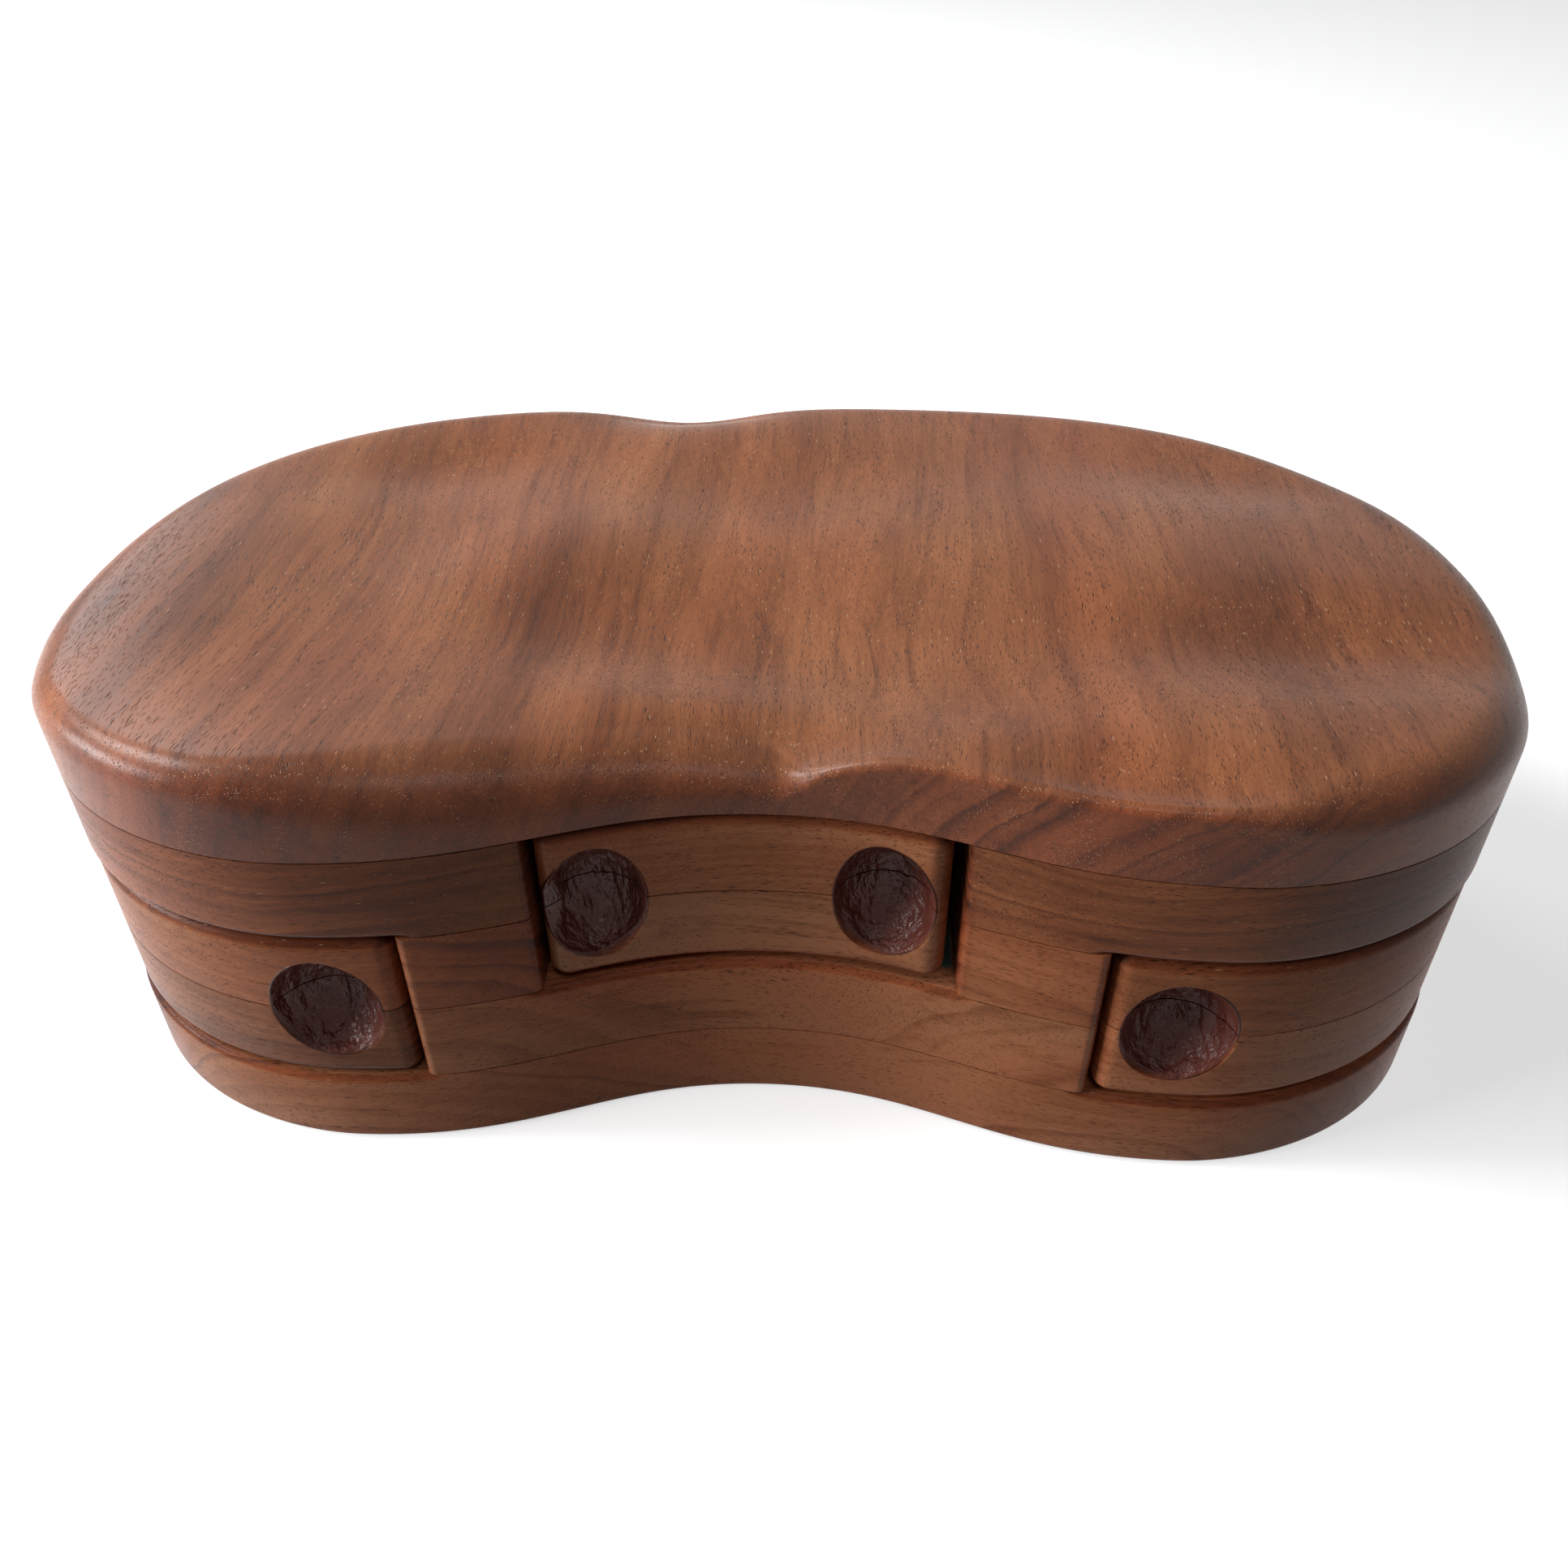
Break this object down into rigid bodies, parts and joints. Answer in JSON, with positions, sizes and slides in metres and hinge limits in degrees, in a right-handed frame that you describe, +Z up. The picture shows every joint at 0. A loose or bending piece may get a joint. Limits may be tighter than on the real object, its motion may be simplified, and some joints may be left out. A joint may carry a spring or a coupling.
{
  "type": "jewelry box",
  "caption": "Kidney-shaped laminated walnut jewelry box with a carved undulating top, a front drawer that slides out and end drawers that swing out.",
  "frame": {"origin": "middle of the box's outline, on the surface that it stands on", "axes": "+X to the box's right seen from the front, +Y to its back, +Z up"},
  "size_m": [0.2836, 0.1549, 0.0951],
  "materials": {
    "walnut_base": "oiled, satin",
    "walnut_lower_core": "oiled, satin",
    "walnut_middle_core": "oiled, satin",
    "walnut_upper_core": "oiled, satin",
    "walnut_top": "carved, oiled, satin",
    "walnut_drawer_lower": "oiled, satin",
    "walnut_drawer_upper": "oiled, satin",
    "walnut_panel": "sanded",
    "steel_pin": "plain steel rod",
    "green_felt": "felt"
  },
  "bodies": {
    "carcass": {"base_board": "walnut_base", "lower_core_board": "walnut_lower_core", "middle_core_board": "walnut_middle_core", "upper_core_board": "walnut_upper_core", "carved_top_board": "walnut_top", "well_felt": "green_felt", "left_pivot_pin": "steel_pin", "right_pivot_pin": "steel_pin"},
    "centre_drawer": {"centre_drawer_lower_ring": "walnut_drawer_lower", "centre_drawer_upper_ring": "walnut_drawer_upper", "centre_drawer_bottom": "walnut_panel", "centre_drawer_lining": "green_felt"},
    "left_drawer": {"left_drawer_lower_ring": "walnut_drawer_lower", "left_drawer_upper_ring": "walnut_drawer_upper", "left_drawer_bottom": "walnut_panel", "left_drawer_lining": "green_felt"},
    "right_drawer": {"right_drawer_lower_ring": "walnut_drawer_lower", "right_drawer_upper_ring": "walnut_drawer_upper", "right_drawer_bottom": "walnut_panel", "right_drawer_lining": "green_felt"}
  },
  "joints": [
    {"name": "centre_drawer_slide", "type": "slide", "parent": "carcass", "child": "centre_drawer", "axis": [0, -1, 0], "range_m": [0, 0.08]},
    {"name": "left_drawer_swing", "type": "hinge", "parent": "carcass", "child": "left_drawer", "pos_m": [-0.12029, 0.03192, 0.03815], "axis": [0, 0, -1], "range_deg": [0, 85]},
    {"name": "right_drawer_swing", "type": "hinge", "parent": "carcass", "child": "right_drawer", "pos_m": [0.12029, 0.03192, 0.03815], "axis": [0, 0, 1], "range_deg": [0, 85]}
  ]
}
